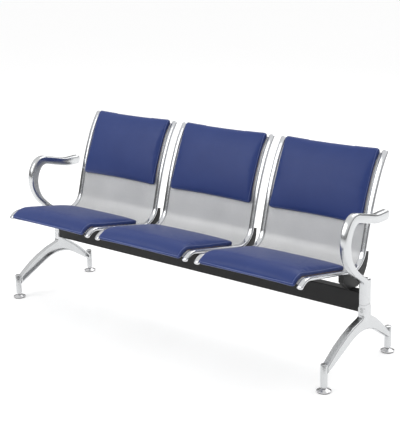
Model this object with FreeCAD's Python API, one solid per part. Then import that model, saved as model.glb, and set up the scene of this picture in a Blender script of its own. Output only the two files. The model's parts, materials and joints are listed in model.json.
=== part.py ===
import FreeCAD, Part
import math
import os

from FreeCAD import Vector

# Three-place beam seating: perforated steel shells with chromed side rails and padded cushions,
# carried by black brackets on one steel beam, between two cast arm and leg ends on levelling glides.
# Millimetres. X runs along the beam to the sitter's left hand, -Y is the front, +Z is up.
# While the pieces are drawn, y = 0 is midway between the front and the rear feet, and z = 0 is the
# floor. On export everything slides along y until the whole stands centred over its own footprint.

# Overall sizes
seat_count = 3
seat_pitch = 534.0
seat_width = 499.0
end_reach = 51.5
foot_span = 454.0

# Side view of one seat: a nose, a straight seat, a bend, and a back that leans away in two curves
nose_y = -287.0
nose_z = 405.0
nose_radius = 62.0
nose_turn = 58.0
seat_tilt = 11.0
seat_straight = 278.0
bend_radius = 81.0
back_angle = 74.0
lumbar_straight = 92.0
lower_back_radius = 1240.0
lower_back_turn = 9.0
upper_back_radius = 460.0
upper_back_turn = 13.0

# Side rails and the sheet between them
rail_width = 25.0
rail_depth = 14.0
rail_bevel = 4.0
rail_end_steps = 3
sheet_thickness = 1.5
sheet_front_gap = 12.0
sheet_top_gap = 6.0
rolled_edge_radius = 4.0

# Cushions and the boards inside them
cushion_side_gap = 1.5
board_thickness = 5.0
board_margin = 12.0
seat_cushion_rear = 338.0
seat_cushion_edge = 14.0
seat_cushion_height = 31.0
back_cushion_foot = 556.0
back_cushion_edge = 13.0
back_cushion_height = 26.0
cushion_overhang = 10.0
cushion_draw_in = 5.0
soft_gap = 0.3

# Beam
beam_height = 80.0
beam_depth = 40.0
beam_wall = 2.0
beam_corner = 4.0
beam_top = 305.0
beam_centre_y = 47.5

# Seat brackets
bracket_width = 22.0
bracket_cheek = 3.0
bracket_web = 4.0
bracket_front_y = -18.0
bracket_front_drop = 30.0
bracket_horn_top = 430.0
bracket_horn_thickness = 15.0
bracket_foot_front = 2.0
bracket_foot_rear = 16.0
bracket_belly_drop = 62.0
bracket_belly_depth = 42.0
bracket_curve_steps = 5
rail_screw_front = 20.0
rail_screw_rear = 18.0
seat_gap = 0.3

# Arm and leg castings
post_width = 31.0
post_depth = 48.0
post_top = 358.0
post_top_radius = 12.0
post_top_flat = 7.0
post_front_rise = 78.0
seam_z = 257.0
arm_front_thickness = 30.0
arm_top_thickness = 20.0
arm_bevel = 7.0
arm_rise_angle = 146.0
arm_corner_radius = 18.0
arm_crotch_radius = 14.0
arm_stem_length = 43.0
arm_front_bends = [(260.0, 16.0), (146.0, 38.0)]
arm_crown_bends = [(110.0, 42.0), (50.0, 61.0)]
armrest_length = 110.0
armrest_lift = 16.0
armrest_lift_radius = 200.0
armrest_end = 34.0
spigot_length = 38.0
spigot_gap = 0.2
spigot_bevel = 1.5
spigot_screws = (10.0, 27.0)
leg_width = 27.0
leg_rim = 6.0
leg_pocket_depth = 13.0
leg_bevel = 5.0
leg_under_bevel = 9.0
leg_front_drop = 38.0
leg_front_corner = 14.0
leg_front_slope = 11.0
leg_front_turn = 25.0
leg_rear_drop = 40.0
leg_rear_corner = 16.0
leg_rear_slope = 30.0
leg_rear_turn = 15.0
leg_arch_share = 1.145
leg_under_radius = 190.0
leg_under_front_rise = 24.0
leg_under_rear_fall = 33.0
leg_front_end_drop = 45.0
leg_rear_end_drop = 50.0
foot_post_sides = 16
foot_post_diameter = 27.0
foot_post_top = 108.0
foot_post_bottom = 22.0

# Levelling glides
glide_diameter = 55.0
glide_rim_height = 4.0
glide_neck_diameter = 17.0
glide_height = 20.0
glide_cone_top = 15.0
pad_thickness = 3.0
pad_diameter = 50.0
stud_diameter = 10.0
stud_bottom = 8.0
stud_top = 62.0
stud_clearance = 0.05
glide_clearance = 0.3

# Fasteners
beam_bolt_diameter = 8.0
beam_bolt_across_flats = 13.0
beam_bolt_head = 5.3
beam_bolt_spacing = 20.0
small_screw_diameter = 6.0
small_screw_head = 11.0
small_screw_head_height = 3.5
cushion_screw_diameter = 5.0
cushion_screw_head = 10.0
cushion_screw_head_height = 2.5
cushion_screw_inset = 80.0
hole_clearance = 0.25
screw_grip = 0.05
screw_sides = 6
stud_sides = 12
bend_step = 7.5
arm_tip_steps = 6
sharp_corners = 2
glide_sides = 18

# Values that follow from the sizes above
end_centre_x = (seat_count - 1) / 2 * seat_pitch + seat_width / 2 + end_reach
leg_arch_radius = leg_arch_share * foot_span
inner_end_x = end_centre_x - post_width / 2
rail_centre_x = (seat_width - rail_width) / 2
sheet_half_width = seat_width / 2 - rail_width
beam_bottom = beam_top - beam_height
beam_front_y = beam_centre_y - beam_depth / 2
beam_rear_y = beam_centre_y + beam_depth / 2
post_front_y = beam_centre_y - post_depth / 2
post_rear_y = beam_centre_y + post_depth / 2
seat_centres = [(n - (seat_count - 1) / 2) * seat_pitch for n in range(seat_count)]


class Track:
    """A line in the side view, made of straights and bends that run smoothly into each other.

    Distances along it start at 0. A positive offset lies to the left of the way it runs.
    """

    def __init__(self, y, z, heading):
        self.moves = []
        self.length = 0.0
        self.end = (y, z, heading)

    def straight(self, length):
        self._add(length, 0.0)
        return self

    def bend(self, radius, turn):
        self._add(radius * math.radians(abs(turn)), turn)
        return self

    def straight_abreast(self, y, z):
        """Run straight on until level with a point beside the line."""
        here_y, here_z, heading = self.end
        angle = math.radians(heading)
        return self.straight((y - here_y) * math.cos(angle) + (z - here_z) * math.sin(angle))

    def straight_to_y(self, y):
        here_y, _, heading = self.end
        return self.straight((y - here_y) / math.cos(math.radians(heading)))

    def _add(self, length, turn):
        self.moves.append((self.length, length, turn, self.end))
        self.length += length
        self.end = self._pose(self.length)

    def _pose(self, distance):
        chosen = self.moves[0]
        for move in self.moves:
            if distance >= move[0]:
                chosen = move
        begin, length, turn, (y, z, heading) = chosen
        along = distance - begin
        if turn == 0.0 or distance < 0.0:
            angle = math.radians(heading)
            return y + along * math.cos(angle), z + along * math.sin(angle), heading
        swept = turn * min(along, length) / length
        radius = length / math.radians(abs(turn))
        chord = 2 * radius * math.sin(math.radians(abs(swept)) / 2)
        angle = math.radians(heading + swept / 2)
        y += chord * math.cos(angle)
        z += chord * math.sin(angle)
        past = max(along - length, 0.0)
        angle = math.radians(heading + swept)
        return y + past * math.cos(angle), z + past * math.sin(angle), heading + swept

    def place(self, x, distance, offset=0.0):
        y, z, heading = self._pose(distance)
        angle = math.radians(heading)
        return Vector(x, y - offset * math.sin(angle), z + offset * math.cos(angle))

    def normal(self, distance):
        angle = math.radians(self._pose(distance)[2])
        return Vector(0, -math.sin(angle), math.cos(angle))

    def edges(self, x, first, last, offset=0.0, bend_step=0.0):
        """The edges of the offset line. With a step in degrees, bends are drawn in straight steps."""
        found = []
        if first < 0.0:
            found.append(Part.LineSegment(self.place(x, first, offset), self.place(x, 0.0, offset)).toShape())
        if last > self.length:
            ends = [self.place(x, self.length, offset), self.place(x, last, offset)]
            found.append(Part.LineSegment(*ends).toShape())
        for begin, length, turn, _ in self.moves:
            low = max(first, begin)
            high = min(last, begin + length)
            if high - low < 1e-6:
                continue
            ends = [self.place(x, low, offset), self.place(x, high, offset)]
            if turn == 0.0:
                found.append(Part.LineSegment(*ends).toShape())
            elif bend_step:
                steps = math.ceil(abs(turn) * (high - low) / length / bend_step)
                shares = [low + (high - low) * n / steps for n in range(steps + 1)]
                found += Part.makePolygon([self.place(x, share, offset) for share in shares]).Edges
            else:
                middle = self.place(x, (low + high) / 2, offset)
                found.append(Part.Arc(ends[0], middle, ends[1]).toShape())
        return found

    def strip(self, x, first, last, low, high, end_steps=1, bend_step=0.0):
        """A closed outline between two offsets. Ends of several steps are half round."""
        middle = (low + high) / 2
        reach = (high - low) / 2
        edges = self.edges(x, first, last, low, bend_step) + self.edges(x, first, last, high, bend_step)
        for distance, outward in ((first, -reach), (last, reach)):
            points = []
            for step in range(end_steps + 1):
                turn = math.pi * step / end_steps
                beyond = outward * math.sin(turn) if 0 < step < end_steps else 0.0
                points.append(self.place(x, distance + beyond, middle - reach * math.cos(turn)))
            edges += Part.makePolygon(points).Edges
        return closed_wire(edges)

    def heading(self, distance):
        angle = math.radians(self._pose(distance)[2])
        return Vector(0, math.cos(angle), math.sin(angle))


def closed_wire(edges):
    return Part.Wire(Part.__sortEdges__(edges))


def slab(wire, width):
    """The solid that an outline in a plane of constant x makes over a width along x."""
    return Part.Face(wire).extrude(Vector(width, 0, 0))


def rim_edges(shape):
    """The edges round the two flat side faces, which all lie in planes of constant x."""
    return [edge for edge in shape.Edges if edge.BoundBox.XLength < 1e-4]


def box(x_low, x_high, y_low, y_high, z_low, z_high):
    corner = Vector(x_low, y_low, z_low)
    return Part.makeBox(x_high - x_low, y_high - y_low, z_high - z_low, corner)


def rod(radius, start, direction, length):
    return Part.makeCylinder(radius, length, start, direction)


def prism(sides, radius, seat, direction, height):
    """A many-sided bar whose flats lie at a radius. Small fasteners and their holes are drawn so."""
    corner = radius / math.cos(math.pi / sides)
    turns = [2 * math.pi * n / sides for n in range(sides + 1)]
    points = [Vector(corner * math.cos(turn), corner * math.sin(turn), 0) for turn in turns]
    bar = Part.Face(Part.makePolygon(points)).extrude(Vector(0, 0, height))
    bar.Placement = FreeCAD.Placement(seat, FreeCAD.Rotation(Vector(0, 0, 1), direction))
    return bar


def pin(radius, seat, direction, height):
    return prism(screw_sides, radius, seat, direction, height)


def drawn_in(wire, inset, x):
    """The outline made smaller all round by an inset and moved along x."""
    smaller = wire.makeOffset2D(-inset, sharp_corners) if inset else wire.copy()
    smaller.translate(Vector(x, 0, 0))
    return smaller


def bevelled_slab(wire, width, bevel, both_sides=True):
    """A slab whose long edges are bevelled towards +X, or on both sides."""
    rings = [drawn_in(wire, 0, width - bevel), drawn_in(wire, bevel, width)]
    bevels = [Part.makeLoft(rings, True, True)]
    start = 0.0
    if both_sides:
        start = bevel
        rings = [drawn_in(wire, bevel, 0), drawn_in(wire, 0, bevel)]
        bevels.append(Part.makeLoft(rings, True, True))
    middle = slab(drawn_in(wire, 0, start), width - bevel - start)
    return middle.fuse(bevels).removeSplitter()


def stepped(edge, steps):
    """The same curve in straight steps, for pressed pieces that repeat."""
    return Part.makePolygon(edge.discretize(Number=steps + 1)).Edges


def mirrored(shape):
    """The same piece for the other end of the beam."""
    return shape.mirror(Vector(0, 0, 0), Vector(1, 0, 0))


def moved(shape, x):
    copy = shape.copy()
    copy.translate(Vector(x, 0, 0))
    return copy


# The line that rails, sheet, boards and cushions all follow
def seat_track():
    track = Track(nose_y, nose_z, nose_turn - seat_tilt)
    track.bend(nose_radius, -nose_turn)
    track.straight(seat_straight)
    track.bend(bend_radius, back_angle + seat_tilt)
    track.straight(lumbar_straight)
    track.bend(lower_back_radius, -lower_back_turn)
    track.bend(upper_back_radius, -upper_back_turn)
    return track


shell_line = seat_track()


def distance_at(coordinate, value, first, last):
    """Where the seat line first passes a y or z value, found by halving."""
    for _ in range(50):
        middle = (first + last) / 2
        place = shell_line.place(0, middle)
        here = place.y if coordinate == "y" else place.z
        if here < value:
            first = middle
        else:
            last = middle
    return first


bracket_front = distance_at("y", bracket_front_y, 0.0, nose_radius + seat_straight)
bend_end = nose_radius * math.radians(nose_turn) + seat_straight
bend_end += bend_radius * math.radians(back_angle + seat_tilt)
bracket_rear = distance_at("z", bracket_horn_top, bend_end - 40.0, bend_end + lumbar_straight)
rail_screw_stations = [bracket_front + rail_screw_front, bracket_rear - rail_screw_rear]


# Side rail: a flat oval bar with rounded ends, drilled from below for the bracket's screws
def side_rail():
    reach = rail_depth / 2
    outline = shell_line.strip(-rail_width / 2, 0, shell_line.length, -reach, reach, rail_end_steps,
                               bend_step)
    rail = bevelled_slab(outline, rail_width, rail_bevel, both_sides=False)
    for station in rail_screw_stations:
        mouth = shell_line.place(0, station, -reach - 1.0)
        hole = pin(small_screw_diameter / 2 + screw_grip, mouth, shell_line.normal(station), 10.5)
        rail = rail.cut(hole)
    return rail


# Cushion screws sit where the sheet and the boards inside the cushions share holes
seat_board_span = (board_margin, seat_cushion_rear - board_margin)
back_board_span = (back_cushion_foot + board_margin, shell_line.length - board_margin)
seat_screw_stations = [seat_board_span[0] + cushion_screw_inset, seat_board_span[1] - cushion_screw_inset]
back_screw_stations = [sum(back_board_span) / 2]
cushion_screw_columns = [-sheet_half_width / 2, sheet_half_width / 2]


def cushion_screw_places():
    stations = seat_screw_stations + back_screw_stations
    return [(x, station) for x in cushion_screw_columns for station in stations]


# Sheet: one bent steel pan with rolled ends, screwed to the boards
def perforated_shell():
    first = sheet_front_gap
    last = shell_line.length - sheet_top_gap
    reach = sheet_thickness / 2
    sheet = slab(shell_line.strip(-sheet_half_width, first, last, -reach, reach), 2 * sheet_half_width)
    for station in (first, last):
        offset = reach - rolled_edge_radius / math.cos(math.pi / screw_sides)
        edge = pin(rolled_edge_radius, shell_line.place(-sheet_half_width, station, offset),
                   Vector(1, 0, 0), 2 * sheet_half_width)
        sheet = sheet.fuse(edge)
    for x, station in cushion_screw_places():
        start = shell_line.place(x, station, -5.0)
        hole = pin(cushion_screw_diameter / 2 + hole_clearance, start, shell_line.normal(station), 10.0)
        sheet = sheet.cut(hole)
    return sheet


# Board: the stiff sheet inside a cushion, which takes its screws
board_low = sheet_thickness / 2 + soft_gap
board_high = board_low + board_thickness
board_half_width = sheet_half_width - board_margin


def cushion_board(first, last, screw_stations):
    board = slab(shell_line.strip(-board_half_width, first, last, board_low, board_high),
                 2 * board_half_width)
    for x in cushion_screw_columns:
        for station in screw_stations:
            start = shell_line.place(x, station, board_low - 1.0)
            hole = pin(cushion_screw_diameter / 2 + screw_grip, start, shell_line.normal(station),
                       board_thickness)
            board = board.cut(hole)
    return board


# Cushion: a crowned pad, thick in the middle and drawn in at its edges, wrapped over its board
cushion_sections = [-1.0, -0.8, 0.8, 1.0]
seat_cushion_stations = [-1.0, -0.96, -0.87, -0.77, -0.67, -0.57, -0.2, 0.4, 0.8, 1.0]
back_cushion_stations = [-1.0, -0.9, -0.6, 0.0, 0.6, 0.9, 1.0]


def pillow(share):
    """Height of a cushion from 0 at its edge to 1 in the middle, for a share from -1 to 1."""
    return math.sqrt(1 - abs(share) ** 3)


def side_crown(share):
    """The same across the width, where even the outermost section keeps a slight crown."""
    return 0.2 + 0.8 * pillow(share)


def cushion(first, last, stations, edge_height, full_height, board_span):
    low = sheet_thickness / 2 + soft_gap
    half_width = sheet_half_width - cushion_side_gap
    middle = (first + last) / 2
    sections = []
    for across in cushion_sections:
        x = across * half_width
        draw = cushion_draw_in * (1 - across ** 2)
        reach = (last - first) / 2 - draw
        crown = side_crown(across) * (full_height - edge_height)
        tops = []
        for along in stations:
            height = low + edge_height + crown * pillow(along)
            tops.append(shell_line.place(x, middle + along * reach, height))
        edges = Part.makePolygon(tops).Edges
        edges += shell_line.edges(x, middle - reach, middle + reach, low)
        edges.append(Part.LineSegment(shell_line.place(x, middle - reach, low), tops[0]).toShape())
        edges.append(Part.LineSegment(shell_line.place(x, middle + reach, low), tops[-1]).toShape())
        sections.append(closed_wire(edges))
    pad = Part.makeLoft(sections, True, True)
    recess_half = board_half_width + soft_gap
    recess = shell_line.strip(-recess_half, board_span[0] - soft_gap, board_span[1] + soft_gap,
                              low - 1.0, board_high + soft_gap)
    return pad.cut(slab(recess, 2 * recess_half))


# Bracket: a black pressed channel that cradles a rail from below and behind, bolted on the beam
def seat_bracket():
    face = -rail_depth / 2 - seat_gap
    left = -bracket_width / 2
    front_top = shell_line.place(left, bracket_front, face)
    horn_inner = shell_line.place(left, bracket_rear, face)
    horn_outer = shell_line.place(left, bracket_rear, face - bracket_horn_thickness)
    front_low = Vector(left, front_top.y, front_top.z - bracket_front_drop)
    foot_front = Vector(left, beam_front_y - bracket_foot_front, beam_top)
    foot_rear = Vector(left, beam_rear_y + bracket_foot_rear, beam_top)
    belly = shell_line.place(left, bracket_rear - bracket_belly_drop, face - bracket_belly_depth)
    outline = shell_line.edges(left, bracket_front, bracket_rear, face)
    outline += stepped(Part.Arc(horn_outer, belly, foot_rear).toShape(), bracket_curve_steps)
    outline += [Part.LineSegment(horn_inner, horn_outer).toShape(),
                Part.LineSegment(foot_rear, foot_front).toShape(),
                Part.LineSegment(foot_front, front_low).toShape(),
                Part.LineSegment(front_low, front_top).toShape()]
    bracket = slab(closed_wire(outline), bracket_width)
    inside = bracket_cheek - bracket_width / 2
    hollow_top = []
    clear_of_horn = bracket_rear + bracket_horn_thickness
    for edge in shell_line.edges(inside, bracket_front + bracket_web, clear_of_horn, face - bracket_web):
        steps = 1 if edge.Curve.TypeId == "Part::GeomLine" else bracket_curve_steps
        hollow_top += stepped(edge, steps)
    start = shell_line.place(inside, bracket_front + bracket_web, face - bracket_web)
    finish = shell_line.place(inside, clear_of_horn, face - bracket_web)
    floor_z = beam_top + bracket_web
    behind = finish.y + 2 * bracket_belly_depth
    corners = [finish, Vector(inside, behind, finish.z), Vector(inside, behind, floor_z),
               Vector(inside, foot_front.y + bracket_web, floor_z),
               Vector(inside, start.y, front_low.z + bracket_web), start]
    hollow = [Part.LineSegment(corners[n], corners[n + 1]).toShape() for n in range(len(corners) - 1)]
    bracket = bracket.cut(slab(closed_wire(hollow_top + hollow), bracket_width - 2 * bracket_cheek))
    for y in beam_bolt_rows():
        hole = pin(beam_bolt_diameter / 2 + hole_clearance, Vector(0, y, beam_top - 1), Vector(0, 0, 1),
                   bracket_web + 2)
        bracket = bracket.cut(hole)
    for station in rail_screw_stations:
        start = shell_line.place(0, station, face - bracket_web - 1)
        hole = pin(small_screw_diameter / 2 + hole_clearance, start, shell_line.normal(station),
                   bracket_web + 2)
        bracket = bracket.cut(hole)
    return bracket


def beam_bolt_rows():
    return [beam_centre_y - beam_bolt_spacing / 2, beam_centre_y + beam_bolt_spacing / 2]


def bracket_centres():
    return [centre + side * rail_centre_x for centre in seat_centres for side in (-1, 1)]


# Beam: a rectangular steel tube, drilled on top for the brackets and behind for the end spigots
def beam():
    length = 2 * inner_end_x
    outer = box(-length / 2, length / 2, beam_front_y, beam_rear_y, beam_bottom, beam_top)
    long_edges = [edge for edge in outer.Edges if edge.BoundBox.XLength > 1.0]
    outer = outer.makeFillet(beam_corner, long_edges)
    inner = box(-length / 2 - 1, length / 2 + 1, beam_front_y + beam_wall, beam_rear_y - beam_wall,
                beam_bottom + beam_wall, beam_top - beam_wall)
    long_edges = [edge for edge in inner.Edges if edge.BoundBox.XLength > 1.0]
    tube = outer.cut(inner.makeFillet(beam_corner - beam_wall, long_edges))
    holes = []
    for x in bracket_centres():
        for y in beam_bolt_rows():
            start = Vector(x, y, beam_top - beam_wall - 1)
            holes.append(pin(beam_bolt_diameter / 2 + screw_grip, start, Vector(0, 0, 1), beam_wall + 2))
    for x, z in end_screw_places():
        start = Vector(x, beam_rear_y - beam_wall - 1, z)
        holes.append(pin(small_screw_diameter / 2 + hole_clearance, start, Vector(0, 1, 0), beam_wall + 2))
    return tube.cut(Part.makeCompound(holes))


arm_spigot_z = (seam_z + 6.0, beam_top - beam_wall - spigot_gap)
leg_spigot_z = (beam_bottom + beam_wall + spigot_gap, seam_z - 6.0)


def end_screw_places():
    places = []
    for side in (-1, 1):
        for low, high in (arm_spigot_z, leg_spigot_z):
            for inward in spigot_screws:
                places.append((side * (inner_end_x - inward), (low + high) / 2))
    return places


def spigot(z_low, z_high):
    """The tongue of a casting that plugs into the beam, drilled for its two screws."""
    tongue = box(inner_end_x - spigot_length, inner_end_x + 2.0, beam_front_y + beam_wall + spigot_gap,
                 beam_rear_y - beam_wall - spigot_gap, z_low, z_high)
    tongue = tongue.makeChamfer(spigot_bevel, [edge for edge in tongue.Edges if edge.BoundBox.XLength > 1.0])
    for inward in spigot_screws:
        start = Vector(inner_end_x - inward, beam_rear_y, (z_low + z_high) / 2)
        tongue = tongue.cut(pin(small_screw_diameter / 2 + screw_grip, start, Vector(0, -1, 0), 20.0))
    return tongue


# Arm: a casting that rises from its post, swings forward in a C and runs back as the armrest
def arm_tracks():
    """The front and the rear line of the arm's outline, from below the seam to the armrest's end."""
    first_turn, second_turn = [math.radians(turn) for radius, turn in arm_crown_bends]
    share = 1 - math.cos(first_turn + second_turn)
    ease = (arm_front_thickness - arm_top_thickness) / 2 / share
    half = arm_front_thickness / 2
    foot_z = seam_z - 2 * arm_bevel
    outer = Track(post_front_y, foot_z, 90.0)
    outer.straight(post_front_rise + seam_z - foot_z)
    outer.bend(arm_corner_radius, arm_rise_angle - 90.0)
    inner = Track(post_rear_y, foot_z, 90.0)
    inner.straight(post_top - foot_z - post_top_radius)
    inner.bend(post_top_radius, 90.0)
    inner.straight(post_top_flat)
    inner.bend(arm_crotch_radius, arm_rise_angle - 180.0)
    for track, side in ((outer, 1), (inner, -1)):
        track.straight(arm_stem_length)
        for radius, turn in arm_front_bends:
            track.bend(radius + side * half, -turn)
        for radius, turn in arm_crown_bends:
            track.bend(radius + side * (half - ease), -turn)
        track.straight(armrest_length)
    inner.bend(armrest_lift_radius, armrest_lift)
    inner.straight(armrest_end)
    outer.bend(armrest_lift_radius - arm_top_thickness, armrest_lift)
    outer.straight_abreast(inner.end[0], inner.end[1])
    return outer, inner


def arm_tip(x, tracks):
    """The outermost point of the armrest's half-round end."""
    ends = [track.place(x, track.length) for track in tracks]
    reach = (ends[0] - ends[1]).Length / 2
    return (ends[0] + ends[1]) * 0.5 + tracks[1].heading(tracks[1].length) * reach


def arm_outline(x):
    tracks = arm_tracks()
    edges = []
    for track in tracks:
        edges += track.edges(x, 0, track.length, 0.0, bend_step)
    starts = [track.place(x, 0) for track in tracks]
    ends = [track.place(x, track.length) for track in tracks]
    edges.append(Part.LineSegment(*starts).toShape())
    edges += stepped(Part.Arc(ends[0], arm_tip(x, tracks), ends[1]).toShape(), arm_tip_steps)
    return closed_wire(edges)


def arm_casting():
    arm = bevelled_slab(arm_outline(inner_end_x), post_width, arm_bevel)
    below = box(inner_end_x - 1, inner_end_x + post_width + 1, -foot_span, foot_span, 0.0, seam_z)
    arm = arm.cut(below).fuse(spigot(*arm_spigot_z)).removeSplitter()
    tip = arm_tip(end_centre_x, arm_tracks())
    radius = post_width / 2
    around = box(inner_end_x - 1, inner_end_x + post_width + 1, tip.y - radius, tip.y + 1,
                 post_top, tip.z + post_depth)
    rounding = prism(foot_post_sides, radius, Vector(end_centre_x, tip.y - radius, post_top),
                     Vector(0, 0, 1), tip.z + post_depth - post_top)
    return arm.cut(around.cut(rounding))


# Leg: a casting that spreads from the post to a front and a rear foot, open on its inner side
def leg_underside():
    """The arch below: two straights that a bend of large radius joins."""
    front = (-foot_span / 2, foot_post_top - leg_front_end_drop)
    rear = (foot_span / 2, foot_post_top - leg_rear_end_drop)
    rise = math.radians(leg_under_front_rise)
    fall = math.radians(leg_under_rear_fall)
    reach = rear[1] - front[1] + foot_span * math.tan(fall)
    reach /= math.tan(rise) + math.tan(fall)
    cut_back = leg_under_radius * math.tan((rise + fall) / 2)
    under = Track(*front, leg_under_front_rise)
    under.straight(reach / math.cos(rise) - cut_back)
    under.bend(leg_under_radius, -(leg_under_front_rise + leg_under_rear_fall))
    under.straight((foot_span - reach) / math.cos(fall) - cut_back)
    return under


def leg_topsides():
    """The upper lines to the front and to the rear foot, from the seam down."""
    front = Track(post_front_y, seam_z, 270.0)
    front.straight(leg_front_drop)
    front.bend(leg_front_corner, leg_front_slope - 90.0)
    front.bend(leg_arch_radius, leg_front_turn)
    front.straight_to_y(-foot_span / 2)
    rear = Track(post_rear_y, seam_z, 270.0)
    rear.straight(leg_rear_drop)
    rear.bend(leg_rear_corner, 90.0 - leg_rear_slope)
    rear.bend(leg_arch_radius, -leg_rear_turn)
    rear.straight_to_y(foot_span / 2)
    return front, rear


def leg_outline(x, inset):
    """The arch outline, or the same outline drawn in by an inset for the pocket."""
    under = leg_underside()
    front, rear = leg_topsides()
    edges = []
    for track in (under, front, rear):
        edges += track.edges(x, 0, track.length, 0.0, bend_step)
    joins = [(front.place(x, 0), rear.place(x, 0)),
             (front.place(x, front.length), under.place(x, 0)),
             (rear.place(x, rear.length), under.place(x, under.length))]
    edges += [Part.LineSegment(*ends).toShape() for ends in joins]
    return drawn_in(closed_wire(edges), inset, 0)


def rim_along(rim, tracks, x):
    """Those edges of a rim that run along the given tracks."""
    lines = []
    for track in tracks:
        lines += track.edges(x, 0, track.length, 0.0, bend_step)
    lines = Part.makeCompound(lines)
    return [edge for edge in rim if lines.distToShape(Part.Vertex(middle_of(edge)))[0] < 1e-3]


def middle_of(edge):
    return edge.valueAt((edge.FirstParameter + edge.LastParameter) / 2)


def leg_casting():
    outer_x = end_centre_x + post_width / 2
    leg_inner_x = end_centre_x - leg_width / 2
    leg_outer_x = end_centre_x + leg_width / 2
    leg = slab(leg_outline(leg_inner_x, 0.0), leg_width)
    for bevel, tracks in ((leg_under_bevel, [leg_underside()]), (leg_bevel, leg_topsides())):
        rim = [edge for edge in rim_edges(leg) if edge.BoundBox.XMin > end_centre_x]
        leg = leg.makeChamfer(bevel, rim_along(rim, tracks, leg_outer_x))
    upright = box(inner_end_x, outer_x, post_front_y, post_rear_y, beam_bottom, seam_z)
    corners = [edge for edge in upright.Edges if edge.BoundBox.ZLength > 1.0]
    upright = upright.makeChamfer(arm_bevel, corners)
    pocket = slab(leg_outline(leg_inner_x - 1.0, leg_rim), leg_pocket_depth + 1.0)
    above = box(inner_end_x - 2, outer_x, post_front_y, post_rear_y, beam_bottom - leg_rim, seam_z + 1)
    leg = leg.cut(pocket.cut(above)).fuse(upright)
    up = Vector(0, 0, 1)
    for side in (-1, 1):
        centre = Vector(end_centre_x, side * foot_span / 2, foot_post_bottom)
        post = prism(foot_post_sides, foot_post_diameter / 2, centre, up, foot_post_top - foot_post_bottom)
        leg = leg.fuse(post)
    for side in (-1, 1):
        start = Vector(end_centre_x, side * foot_span / 2, foot_post_bottom - 1)
        bore = prism(stud_sides, stud_diameter / 2 + stud_clearance, start, up, stud_top + 6 - start.z)
        leg = leg.cut(bore)
    return leg.fuse(spigot(*leg_spigot_z)).removeSplitter()


# Glide: a shallow conical foot on a captive stud, with a pad below
def ring(x, y, z, diameter):
    """The corners of a round outline, drawn with flats because there are four feet."""
    corner = diameter / 2 / math.cos(math.pi / glide_sides)
    turns = [2 * math.pi * n / glide_sides for n in range(glide_sides + 1)]
    return [Vector(x + corner * math.cos(turn), y + corner * math.sin(turn), z) for turn in turns]


def turned(x, y, levels):
    """A turned piece through (height, diameter) levels."""
    rings = [ring(x, y, z, diameter) for z, diameter in levels]
    faces = [Part.Face(Part.makePolygon(rings[0])), Part.Face(Part.makePolygon(rings[-1]))]
    for lower, upper in zip(rings, rings[1:]):
        for n in range(glide_sides):
            corners = [lower[n], lower[n + 1], upper[n + 1], upper[n], lower[n]]
            faces.append(Part.Face(Part.makePolygon(corners)))
    return Part.Solid(Part.Shell(faces))


def glide_foot(x, y):
    rim_top = pad_thickness + glide_rim_height
    body = turned(x, y, [(pad_thickness, glide_diameter), (rim_top, glide_diameter),
                         (glide_cone_top, glide_neck_diameter), (glide_height, glide_neck_diameter)])
    socket = prism(stud_sides, stud_diameter / 2 + stud_clearance,
                   Vector(x, y, stud_bottom - glide_clearance), Vector(0, 0, 1), glide_height)
    return body.cut(socket)


def glide_stud(x, y):
    flats = stud_diameter / 2 * math.cos(math.pi / stud_sides)
    return prism(stud_sides, flats, Vector(x, y, stud_bottom), Vector(0, 0, 1), stud_top - stud_bottom)


def glide_pad(x, y):
    return turned(x, y, [(0, pad_diameter), (pad_thickness, pad_diameter)])


# Fasteners, each kind one group
def beam_bolts():
    bolts = []
    for x in bracket_centres():
        for y in beam_bolt_rows():
            seat = Vector(x, y, beam_top + bracket_web)
            shank = pin(beam_bolt_diameter / 2, seat, Vector(0, 0, -1), bracket_web + 14.0)
            head = prism(6, beam_bolt_across_flats / 2, seat, Vector(0, 0, 1), beam_bolt_head)
            bolts.append(head.fuse(shank))
    return bolts


def rail_screws():
    screws = []
    under = -rail_depth / 2 - seat_gap - bracket_web
    for x in bracket_centres():
        for station in rail_screw_stations:
            seat = shell_line.place(x, station, under)
            inward = shell_line.normal(station)
            shank = pin(small_screw_diameter / 2, seat, inward, bracket_web + seat_gap + 8.0)
            head = pin(small_screw_head / 2, seat, inward * -1, small_screw_head_height)
            screws.append(head.fuse(shank))
    return screws


def cushion_screws():
    screws = []
    for centre in seat_centres:
        for x, station in cushion_screw_places():
            seat = shell_line.place(centre + x, station, -sheet_thickness / 2)
            inward = shell_line.normal(station)
            shank = pin(cushion_screw_diameter / 2, seat, inward, sheet_thickness + board_thickness - 1.5)
            head = pin(cushion_screw_head / 2, seat, inward * -1, cushion_screw_head_height)
            screws.append(head.fuse(shank))
    return screws


def end_screws():
    screws = []
    for x, z in end_screw_places():
        seat = Vector(x, beam_rear_y, z)
        shank = pin(small_screw_diameter / 2, seat, Vector(0, -1, 0), 18.0)
        head = pin(small_screw_head / 2, seat, Vector(0, 1, 0), small_screw_head_height)
        screws.append(head.fuse(shank))
    return screws


# Every piece under the name of its own node
pieces = {"beam": beam()}
right_arm = arm_casting()
right_leg = leg_casting()
pieces["arm_casting_right"] = right_arm
pieces["arm_casting_left"] = mirrored(right_arm)
pieces["leg_casting_right"] = right_leg
pieces["leg_casting_left"] = mirrored(right_leg)

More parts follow.
